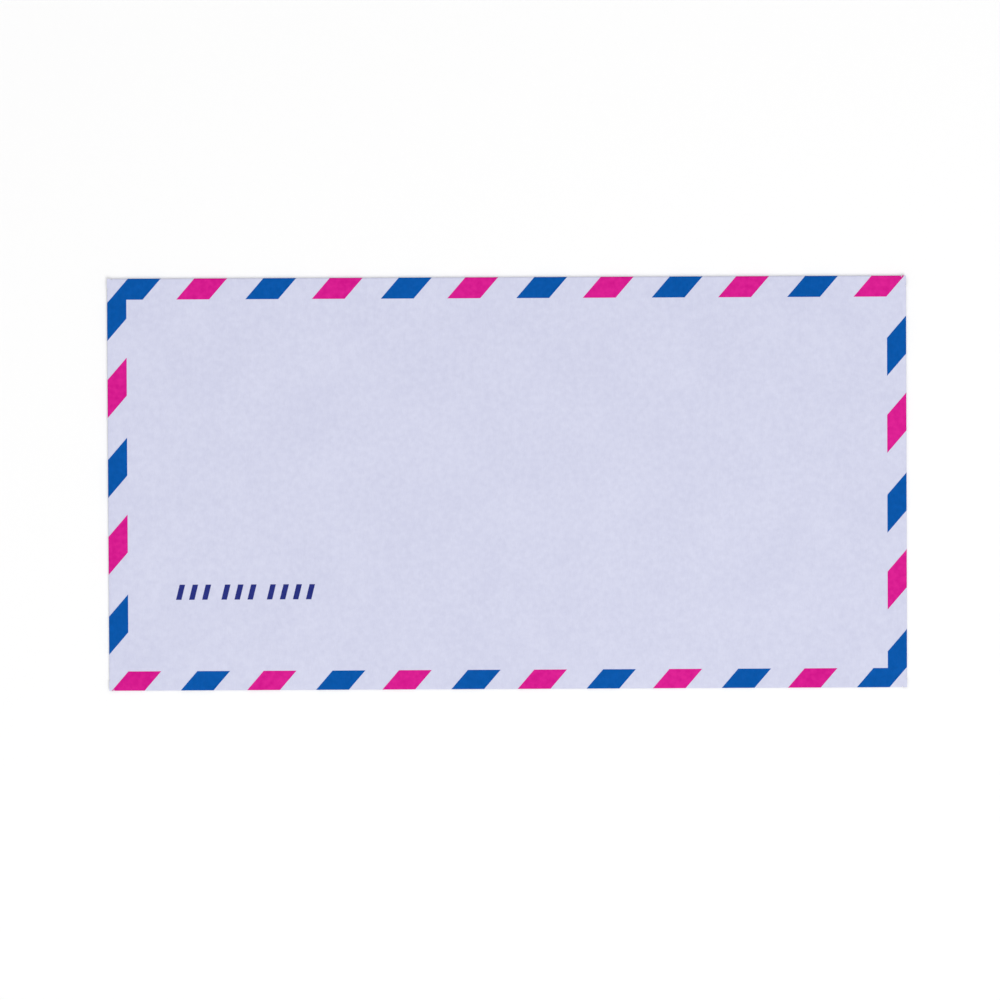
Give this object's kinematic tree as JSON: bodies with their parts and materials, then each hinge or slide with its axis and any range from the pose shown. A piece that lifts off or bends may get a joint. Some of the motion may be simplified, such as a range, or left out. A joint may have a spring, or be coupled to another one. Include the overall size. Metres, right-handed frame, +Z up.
{
  "type": "paper envelope",
  "caption": "Long empty airmail envelope of thin pale paper, folded from one sheet, with a border of slanted blue and magenta stripes, lying face up on its closing flap.",
  "frame": {"origin": "under the middle of the envelope, at the height of the surface it lies on", "axes": "+X along the long folds, to the right on the face; +Y from the bottom fold to the top fold; +Z up, out of the printed face"},
  "size_m": [0.19, 0.098, 0.0008],
  "materials": {
    "paper": "matte",
    "blue_ink": "matte",
    "magenta_ink": "matte",
    "indigo_ink": "matte"
  },
  "bodies": {
    "root": {"folded_sheet": "paper", "blue_stripes": "blue_ink", "magenta_stripes": "magenta_ink", "caption_strokes": "indigo_ink"}
  },
  "joints": []
}
